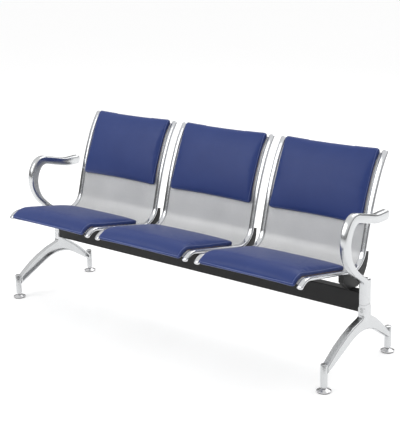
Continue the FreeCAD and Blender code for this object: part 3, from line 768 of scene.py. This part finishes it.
# %% Draw the leg
LEG_WIDTH = 0.027
LEG_WALL = 0.006
LEG_POCKET = 0.013
FOOT_Y = 0.227
FOOT_TOP = 0.108
INTO_POST = 0.008
RISE = 24.0
FALL = 33.0
ARCH_RADIUS = 0.190
TOP_ARCH_RADIUS = 0.52
FRONT_END_DEPTH = 0.045
REAR_END_DEPTH = 0.050
INTO_UPRIGHT = 0.010
FRONT_TOP_MOVES = [(0.028, 0.0), (0.014, -79.0), (TOP_ARCH_RADIUS, 25.0)]
REAR_TOP_MOVES = [(0.030, 0.0), (0.016, 60.0), (TOP_ARCH_RADIUS, -15.0)]
UNDER_RIM = 0.009
TOP_RIM = 0.005
LARGE_FACE = 0.002

reach_y = FOOT_Y - INTO_POST
front_low_z = FOOT_TOP - FRONT_END_DEPTH + INTO_POST * math.tan(math.radians(RISE))
rear_low_z = FOOT_TOP - REAR_END_DEPTH + INTO_POST * math.tan(math.radians(FALL))
rise_tan, fall_tan = math.tan(math.radians(RISE)), math.tan(math.radians(FALL))
apex_run = (rear_low_z - front_low_z + 2 * reach_y * fall_tan) / (rise_tan + fall_tan)
cut_back = ARCH_RADIUS * math.tan(math.radians((RISE + FALL) / 2))
under_start = (GROUND_SLIDE - reach_y, front_low_z, RISE)
under = [(apex_run / math.cos(math.radians(RISE)) - cut_back, 0.0), (ARCH_RADIUS, -RISE - FALL),
         ((2 * reach_y - apex_run) / math.cos(math.radians(FALL)) - cut_back, 0.0)]
front_top_start = (POST_Y - POST_DEPTH / 2, SEAM_Z - INTO_UPRIGHT, 270.0)
front_top = until_y(FRONT_TOP_MOVES, front_top_start, GROUND_SLIDE - reach_y)
rear_top_start = (POST_Y + POST_DEPTH / 2, SEAM_Z - INTO_UPRIGHT, 270.0)
rear_top = until_y(REAR_TOP_MOVES, rear_top_start, GROUND_SLIDE + reach_y)
front_top_end = end_of(front_top, front_top_start)
rear_top_end = end_of(rear_top, rear_top_start)
under_end = end_of(under, under_start)

rear_rise = rear_top_end[1] - under_end[1]
front_fall = front_low_z - front_top_end[1]

leg = pen_at("leg_pattern", *under_start[:2])
sweep_face(chain(under, *under_start))
bpy.ops.mesh.extrude_region_move(TRANSFORM_OT_translate={"value": (0.0, 0.0, rear_rise)})
sweep_face(chain(backwards(rear_top), rear_top_end[0], rear_top_end[1], rear_top_end[2] + 180.0))
bpy.ops.mesh.extrude_region_move(TRANSFORM_OT_translate={"value": (0.0, -POST_DEPTH, 0.0)})
sweep_face(chain(front_top, *front_top_start))
bpy.ops.mesh.extrude_region_move(TRANSFORM_OT_translate={"value": (0.0, 0.0, front_fall)})
fill_and_thicken(leg, LEG_WIDTH)
round_rim(leg, LEG_WIDTH / 2, UNDER_RIM, 4, lambda normal: normal.z < -0.3)
round_rim(leg, LEG_WIDTH / 2, TOP_RIM, 4, lambda normal: normal.z > 0.3)
select_faces(leg, lambda face: face.normal.x < -0.9 and face.area > LARGE_FACE)
bpy.ops.mesh.inset(thickness=LEG_WALL, depth=0.0)
bpy.ops.mesh.extrude_region_move(TRANSFORM_OT_translate={"value": (LEG_POCKET, 0.0, 0.0)})
bpy.ops.object.mode_set(mode="OBJECT")
print("leg arch has", len(leg.data.polygons), "faces")

# %% Add its upright, spigot and posts
STUD_BORE = 0.00505
BORE_TOP = 0.068
POST_RADIUS = 0.0135
POST_LOW = 0.022
upright = rounded_box("leg_upright", (-POST_WIDTH / 2, POST_Y - POST_DEPTH / 2, beam_low.z),
                      (POST_WIDTH / 2, POST_Y + POST_DEPTH / 2, SEAM_Z - SEAM_HALF_GAP), ARM_RIM, 2)
spigot_low = (spigot_low[0], spigot_low[1], beam_low.z + SPIGOT_ROOM)
spigot_high = (spigot_high[0], spigot_high[1], SEAM_Z - SPIGOT_OFF_SEAM)
tongue = rounded_box("leg_spigot", spigot_low, spigot_high, SPIGOT_CORNER, 0)
post_profile = [(0.0, BORE_TOP), (STUD_BORE, BORE_TOP), (STUD_BORE, POST_LOW), (POST_RADIUS, POST_LOW),
                (POST_RADIUS, FOOT_TOP - 0.003), (POST_RADIUS - 0.001, FOOT_TOP - 0.001),
                (POST_RADIUS - 0.003, FOOT_TOP), (0.0, FOOT_TOP)]
posts = []
for end, sign in (("front", -1.0), ("rear", 1.0)):
    post = turned_piece("leg_post_" + end, post_profile, 40)
    post.data.transform(Matrix.Translation((0.0, sign * FOOT_Y + GROUND_SLIDE, 0.0)))
    posts.append(post)
join_into(leg, upright, tongue, *posts)
clean_shell(leg)
shade_round(leg, 30.0)
mirrored_pair(leg, "smooth_leg", END_CENTRE_X, cast_polish, "polished_casting", "leg_casting")
print("two legs")

# %% [markdown]
# ## Glides
# Each glide is a turned foot: a rim, a shallow cone and a neck with a socket for the stud. Half its
# section is spun about the upright axis.

# %% Turn the glides
foot_profile = [(0.0, 0.0077), (STUD_BORE, 0.0077), (STUD_BORE, 0.020), (0.0080, 0.020), (0.0085, 0.0194),
                (0.0085, 0.0156), (0.0095, 0.0146), (0.0262, 0.0075), (0.0273, 0.0066), (0.0275, 0.0056),
                (0.0275, 0.0040), (0.0268, 0.0031), (0.0, 0.0031)]
foot = turned_piece("glide_pattern", foot_profile)
shade_round(foot, 35.0)
for end in ("front", "rear"):
    for side in ("left", "right"):
        node_name = "glide_foot_%s_%s" % (end, side)
        low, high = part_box(node_name)
        twin = copy_of(foot, "turned_glide_%s_%s" % (end, side), middle_x(node_name))
        twin.data.transform(Matrix.Translation((0.0, (low.y + high.y) / 2, 0.0)))
        twin.data.materials.clear()
        twin.data.materials.append(glide_chrome)
        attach(twin, "glide_%s_%s" % (end, side))
        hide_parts(node_name)
bpy.data.objects.remove(foot)
print("four glides")

# %% [markdown]
# ## Perforated sheets
# Each sheet is one pressed steel pan with small staggered holes from edge to edge. It starts as a flat
# grid, as the real blank does. Its own map is laid in metres, across and along, so that the holes keep
# their size when the blank is then bent by setting each vertex on the seat line.

# %% Bend one sheet
SHEET_HALF_WIDTH = (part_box("perforated_shell_2")[1].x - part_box("perforated_shell_2")[0].x) / 2
SHEET_FIRST = 0.012
SHEET_LAST = SEAT_LINE_LENGTH - 0.006
SHEET_THICKNESS = 0.0015


def lay_map(piece, place_of):
    """Gives a piece a map in metres: a vertex index in, its place across and along out."""
    layer = piece.data.uv_layers.get("flat_map") or piece.data.uv_layers.new(name="flat_map")
    corners = np.zeros(len(piece.data.loops) * 2, np.float32)
    order = np.zeros(len(piece.data.loops), np.int32)
    piece.data.loops.foreach_get("vertex_index", order)
    flat = np.array([place_of(index) for index in range(len(piece.data.vertices))], np.float32)
    corners[:] = flat[order].ravel()
    layer.data.foreach_set("uv", corners)


bpy.ops.object.select_all(action="DESELECT")
bpy.ops.mesh.primitive_grid_add(x_subdivisions=12, y_subdivisions=150, size=1.0)
sheet = bpy.context.active_object
sheet.name = "sheet_pattern"
sheet_length = SHEET_LAST - SHEET_FIRST
sheet.data.transform(Matrix.Diagonal((2 * SHEET_HALF_WIDTH, sheet_length, 1.0, 1.0)))
flat_places = [(v.co.x, v.co.y + sheet_length / 2 + SHEET_FIRST) for v in sheet.data.vertices]
lay_map(sheet, lambda index: flat_places[index])
for vertex, (across, distance) in zip(sheet.data.vertices, flat_places):
    vertex.co = on_seat_line(across, distance, 0.0)
select_only(sheet)
thickness = sheet.modifiers.new("thickness", "SOLIDIFY")
thickness.thickness = SHEET_THICKNESS
thickness.offset = 0.0
apply_modifier(sheet, thickness)
shade_round(sheet, 40.0)
print("sheet has", len(sheet.data.polygons), "faces")

# %% [markdown]
# The finish of the sheet is a light silver-grey coat with fine flecks. The holes are drawn as staggered
# rows
# of dark, sunken dots from the flat map, the dark grey being painted shade for what shows through a hole:
# each row is half a step off the last, and the distance to the nearest hole's centre decides what is hole
# and what is steel.

# %% Mix the sheet's finish
HOLE_PITCH = 0.005
HOLE_ROW_STEP = HOLE_PITCH * math.sqrt(3) / 2
HOLE_RADIUS = 0.0013
HOLE_EDGE = 0.0004


def distance_to_hole(recipe):
    flat = recipe.add("ShaderNodeSeparateXYZ", Vector=recipe.own_map())
    across, distance = flat.outputs["X"], flat.outputs["Y"]
    row = recipe.math("FLOOR", recipe.math("DIVIDE", distance, HOLE_ROW_STEP))
    row_half = recipe.math("MULTIPLY", recipe.math("PINGPONG", row, 1.0), HOLE_PITCH / 2)
    shifted = recipe.math("ADD", across, row_half)
    in_column = recipe.math("FLOORED_MODULO", shifted, HOLE_PITCH)
    from_column = recipe.math("SUBTRACT", in_column, HOLE_PITCH / 2)
    in_row = recipe.math("FLOORED_MODULO", distance, HOLE_ROW_STEP)
    from_row = recipe.math("SUBTRACT", in_row, HOLE_ROW_STEP / 2)
    squares = recipe.math("ADD", recipe.math("MULTIPLY", from_column, from_column),
                          recipe.math("MULTIPLY", from_row, from_row))
    return recipe.math("SQRT", squares)


def perforated_coat():
    recipe = Recipe("perforated_coat", (0.40, 0.41, 0.42), 0.45, 0.25)
    hole = recipe.add("ShaderNodeMapRange", Value=distance_to_hole(recipe))
    hole.inputs["From Min"].default_value = HOLE_RADIUS - HOLE_EDGE
    hole.inputs["From Max"].default_value = HOLE_RADIUS
    steel = hole.outputs["Result"]
    place = recipe.object_place()
    fine = recipe.between(recipe.noise(place, 280.0), 0.2, 1.8)
    flecks = recipe.math("MULTIPLY", recipe.noise(place, 6.0), fine)
    coat = recipe.blend_colors(flecks, (0.64, 0.65, 0.65), (0.92, 0.92, 0.92))
    # Painted shade: the holes take a dark grey in place of what would show through them.
    recipe.feed(recipe.shader, "Base Color", recipe.blend_colors(steel, (0.16, 0.16, 0.165), coat))
    recipe.feed(recipe.shader, "Metallic", recipe.math("MULTIPLY", steel, 0.25))
    recipe.bump(steel, 0.0008, 0.7)
    return recipe.material


sheet_coat = perforated_coat()
for number in PLACES:
    node_name = "perforated_shell_%d" % number
    twin = copy_of(sheet, "bent_sheet_%d" % number, middle_x(node_name))
    stand_in(twin, sheet_coat, "grey_sheet_paint", node_name)
bpy.data.objects.remove(sheet)
print("three sheets")

# %% [markdown]
# ## Cushions
# A cushion is foam in a blue leather cloth cover, thick in the middle, thin and drawn in at its edges,
# with rounded corners. It starts flat: a subdivided block is crowned, its corners are rounded in plan,
# and it is then bent along the seat line. A short cloth simulation lets inner pressure swell it into
# the uneven softness of a real pad, and a cap on how far any point may move keeps it in its space.

# %% Cushion sizes
SHEET_TOP = 0.0013
CUSHION_HALF_WIDTH = (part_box("seat_cushion_2")[1].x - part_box("seat_cushion_2")[0].x) / 2
SEAT_PAD = {"first": -0.010, "last": 0.338, "edge": 0.014, "full": 0.031}
BACK_PAD = {"first": 0.556, "last": SEAT_LINE_LENGTH + 0.010, "edge": 0.013, "full": 0.026}
START_SMALLER = 0.0015
CORNER_RADIUS = 0.014
SIDE_DRAW_IN = 0.003
CROWN_POWER = 2.6
VOXEL = 0.005
PRESSURE = 4.0
MOVE_CAP = 0.004
SIMULATION_FRAMES = 20

# %% Shape a cushion in the flat, then bend it


def crown(share):
    return math.sqrt(max(0.0, 1.0 - abs(share) ** CROWN_POWER))


def rounded_plan(x, y, half_x, half_y, radius):
    """Moves a point of a rectangle on to the same rectangle with round corners."""
    over_x = abs(x) - (half_x - radius)
    over_y = abs(y) - (half_y - radius)
    if over_x > 0 and over_y > 0:
        scale = max(over_x, over_y) / math.hypot(over_x, over_y)
        x = math.copysign(half_x - radius + over_x * scale, x)
        y = math.copysign(half_y - radius + over_y * scale, y)
    return x, y


def cushion_blank(name, pad):
    bpy.ops.object.select_all(action="DESELECT")
    bpy.ops.mesh.primitive_cube_add(size=1.0)
    blank = bpy.context.active_object
    blank.name = name
    bpy.ops.object.mode_set(mode="EDIT")
    bpy.ops.mesh.subdivide(number_cuts=44)
    bpy.ops.object.mode_set(mode="OBJECT")
    middle = (pad["first"] + pad["last"]) / 2
    half_long = (pad["last"] - pad["first"]) / 2 - START_SMALLER
    half_wide = CUSHION_HALF_WIDTH - START_SMALLER
    for vertex in blank.data.vertices:
        across, lengthwise, level = (coordinate * 2 for coordinate in vertex.co)
        x = across * (half_wide - SIDE_DRAW_IN * (1 - lengthwise ** 2))
        y = lengthwise * (half_long - SIDE_DRAW_IN * (1 - across ** 2))
        x, y = rounded_plan(x, y, half_wide, half_long, CORNER_RADIUS)
        rise = pad["edge"] + (pad["full"] - pad["edge"]) * crown(across) * crown(lengthwise)
        offset = SHEET_TOP + (level + 1) / 2 * (rise - START_SMALLER / 2)
        vertex.co = on_seat_line(x, middle + y, offset)
    return blank


# %% [markdown]
# Remeshing and swelling lose a point's place on the seat line, so it is found again: each point looks up
# the nearest of many marks along the line. That gives its distance along and its height above the line.
# The height keeps the pad from swelling through the sheet that it rests on.

# %% Find a point's place on the seat line
MARK_STEP = 0.002
MARKS_BEYOND = 0.03
MARK_RISE = 0.012
mark_distances = np.arange(-MARKS_BEYOND, SEAT_LINE_LENGTH + MARKS_BEYOND, MARK_STEP)
marks = KDTree(len(mark_distances))
for index, distance in enumerate(mark_distances):
    marks.insert(on_seat_line(0.0, float(distance), MARK_RISE), index)
marks.balance()


def unrolled(point):
    """How far along the seat line a point lies."""
    _, index, _ = marks.find(Vector((0.0, point[1], point[2])))
    distance = float(mark_distances[index])
    near = on_seat_line(0.0, distance, MARK_RISE)
    ahead = on_seat_line(0.0, distance + MARK_STEP, MARK_RISE)
    way = ahead - near
    return distance + (Vector((0.0, point[1], point[2])) - near).dot(way) / way.length_squared * MARK_STEP


def rest_on_sheet(piece):
    """Lifts every point that lies below the sheet's upper face on to it."""
    for vertex in piece.data.vertices:
        distance = unrolled(vertex.co)
        foot = on_seat_line(vertex.co.x, distance, 0.0)
        upward = on_seat_line(vertex.co.x, distance, 1.0) - foot
        rise = (vertex.co - foot).dot(upward)
        if rise < SHEET_TOP:
            vertex.co += upward * (SHEET_TOP - rise)


# %% Swell it like cloth


def run_cloth(blank):
    """Runs the cloth under pressure and keeps each point's move under the cap."""
    start = np.array([vertex.co for vertex in blank.data.vertices])
    cloth = blank.modifiers.new("cover", "CLOTH")
    cloth.settings.use_pressure = True
    cloth.settings.uniform_pressure_force = PRESSURE
    cloth.settings.effector_weights.gravity = 0.0
    cloth.settings.quality = 5
    cloth.point_cache.frame_start = 1
    cloth.point_cache.frame_end = SIMULATION_FRAMES
    scene = bpy.context.scene
    for step in range(1, SIMULATION_FRAMES + 1):
        scene.frame_set(step)
    swollen = blank.evaluated_get(bpy.context.evaluated_depsgraph_get())
    moved = np.array([vertex.co for vertex in swollen.data.vertices]) - start
    far = np.linalg.norm(moved, axis=1, keepdims=True)
    moved *= np.minimum(1.0, MOVE_CAP / np.maximum(far, 1e-9))
    blank.modifiers.remove(cloth)
    scene.frame_set(1)
    for vertex, place in zip(blank.data.vertices, start + moved):
        vertex.co = place
    rest_on_sheet(blank)
    print(blank.name, "moved up to", round(float(far.max()), 4), "before the cap")


def swell(blank):
    """Remeshes the blank evenly, lets it swell and smooths it."""
    voxels = blank.modifiers.new("voxels", "REMESH")
    voxels.mode = "VOXEL"
    voxels.voxel_size = VOXEL
    apply_modifier(blank, voxels)
    run_cloth(blank)
    finer = blank.modifiers.new("finer", "SUBSURF")
    finer.levels = finer.render_levels = 1
    apply_modifier(blank, finer)
    rest_on_sheet(blank)
    blank.data.polygons.foreach_set("use_smooth", [True] * len(blank.data.polygons))

# %% [markdown]
# Each vertex's place along and across the seat line becomes its map, measured from the middle of the
# cushion. Grain and stitches then keep their size over every curve.

# %% Lay the flat map again


def map_cushion(piece, pad):
    middle = (pad["first"] + pad["last"]) / 2
    flat = [(v.co.x, unrolled(v.co) - middle) for v in piece.data.vertices]
    lay_map(piece, lambda index: flat[index])


# %% [markdown]
# ### Blue leather cloth
# The cover is a soft coated cloth: a deep blue with a slight mottle, with painted shade that darkens its
# rim, a fine pebble grain and a satin sheen. A row of stitches runs just inside its edge; they are real
# thread, but their pale colour is also a painted highlight along the seam. Their place is worked out from
# the flat
# map: the distance to the nearest edge picks the line, and a repeat along it cuts it into single
# stitches.

# %% Mix the cover
STITCH_INSET = 0.011
STITCH_WIDTH = 0.0009
STITCH_PITCH = 0.0048
STITCH_SHARE = 0.62
# Width of the painted shade that darkens the cushion's rim.
RIM_SHADE_WIDTH = 0.010


def seam_line(recipe, pad):
    """The distance in from the cover's edge, the distance off the seam line, and its stitches."""
    half_long = (pad["last"] - pad["first"]) / 2
    split = recipe.add("ShaderNodeSeparateXYZ", Vector=recipe.own_map())
    side_room = recipe.math("SUBTRACT", CUSHION_HALF_WIDTH, recipe.math("ABSOLUTE", split.outputs["X"]))
    end_room = recipe.math("SUBTRACT", half_long, recipe.math("ABSOLUTE", split.outputs["Y"]))
    room = recipe.math("MINIMUM", side_room, end_room)
    by_side = recipe.math("LESS_THAN", side_room, end_room)
    run = recipe.math("ADD", recipe.math("MULTIPLY", by_side, split.outputs["Y"]),
                      recipe.math("MULTIPLY", recipe.math("SUBTRACT", 1.0, by_side), split.outputs["X"]))
    phase = recipe.math("FLOORED_MODULO", run, STITCH_PITCH)
    thread = recipe.math("LESS_THAN", phase, STITCH_PITCH * STITCH_SHARE)
    off_line = recipe.math("ABSOLUTE", recipe.math("SUBTRACT", room, STITCH_INSET))
    on_line = recipe.math("LESS_THAN", off_line, STITCH_WIDTH)
    return room, off_line, recipe.math("MULTIPLY", thread, on_line)


def blue_cover(name, pad):
    recipe = Recipe(name, (0.05, 0.075, 0.22), 0.42)
    room, off_line, stitch_and_seam_highlight = seam_line(recipe, pad)
    furrow = recipe.add("ShaderNodeMapRange", Value=off_line)
    furrow.inputs["From Max"].default_value = STITCH_WIDTH * 3
    place = recipe.object_place()
    mottle = recipe.noise(place, 9.0, 5.0)
    cover = recipe.blend_colors(mottle, (0.018, 0.038, 0.166), (0.029, 0.055, 0.206))
    # Painted shade: near the cover's edge its blue darkens towards (0.009, 0.016, 0.070), standing in for
    # the shade on the rim wall.
    rim_shade_ramp = recipe.add("ShaderNodeMapRange", Value=room)
    rim_shade_ramp.inputs["From Max"].default_value = RIM_SHADE_WIDTH
    rim_shaded_cover = recipe.blend_colors(rim_shade_ramp.outputs["Result"], (0.009, 0.016, 0.070), cover)
    # Painted highlight: the stitches are real, but their pale blue (0.16, 0.20, 0.40) also stands in for
    # the light caught along the seam.
    recipe.feed(recipe.shader, "Base Color", recipe.blend_colors(stitch_and_seam_highlight, rim_shaded_cover, (0.16, 0.20, 0.40)))
    grain = recipe.add("ShaderNodeTexVoronoi", Vector=place, Scale=620.0)
    soft = recipe.noise(place, 55.0, 2.0)
    rough = recipe.between(soft, 0.36, 0.50)
    recipe.feed(recipe.shader, "Roughness", rough)
    recipe.shader.inputs["Specular IOR Level"].default_value = 0.28
    recipe.shader.inputs["Sheen Weight"].default_value = 0.06
    recipe.shader.inputs["Sheen Roughness"].default_value = 0.4
    pebbles = recipe.math("MULTIPLY", grain.outputs["Distance"], 0.25)
    relief = recipe.math("ADD", pebbles, recipe.math("MULTIPLY", furrow.outputs["Result"], 0.9))
    recipe.bump(recipe.math("ADD", relief, recipe.math("MULTIPLY", stitch_and_seam_highlight, 0.8)), 0.0006, 0.8)
    return recipe.material


# %% Make and place the six cushions
for kind, pad in (("seat", SEAT_PAD), ("back", BACK_PAD)):
    pattern = cushion_blank(kind + "_pad_pattern", pad)
    swell(pattern)
    map_cushion(pattern, pad)
    cover = blue_cover(kind + "_blue_cover", pad)
    for number in PLACES:
        node_name = "%s_cushion_%d" % (kind, number)
        twin = copy_of(pattern, "soft_%s_pad_%d" % (kind, number), middle_x(node_name))
        stand_in(twin, cover, "blue_upholstery", node_name)
    print(kind, "pad has", len(pattern.data.polygons), "faces")
    bpy.data.objects.remove(pattern)
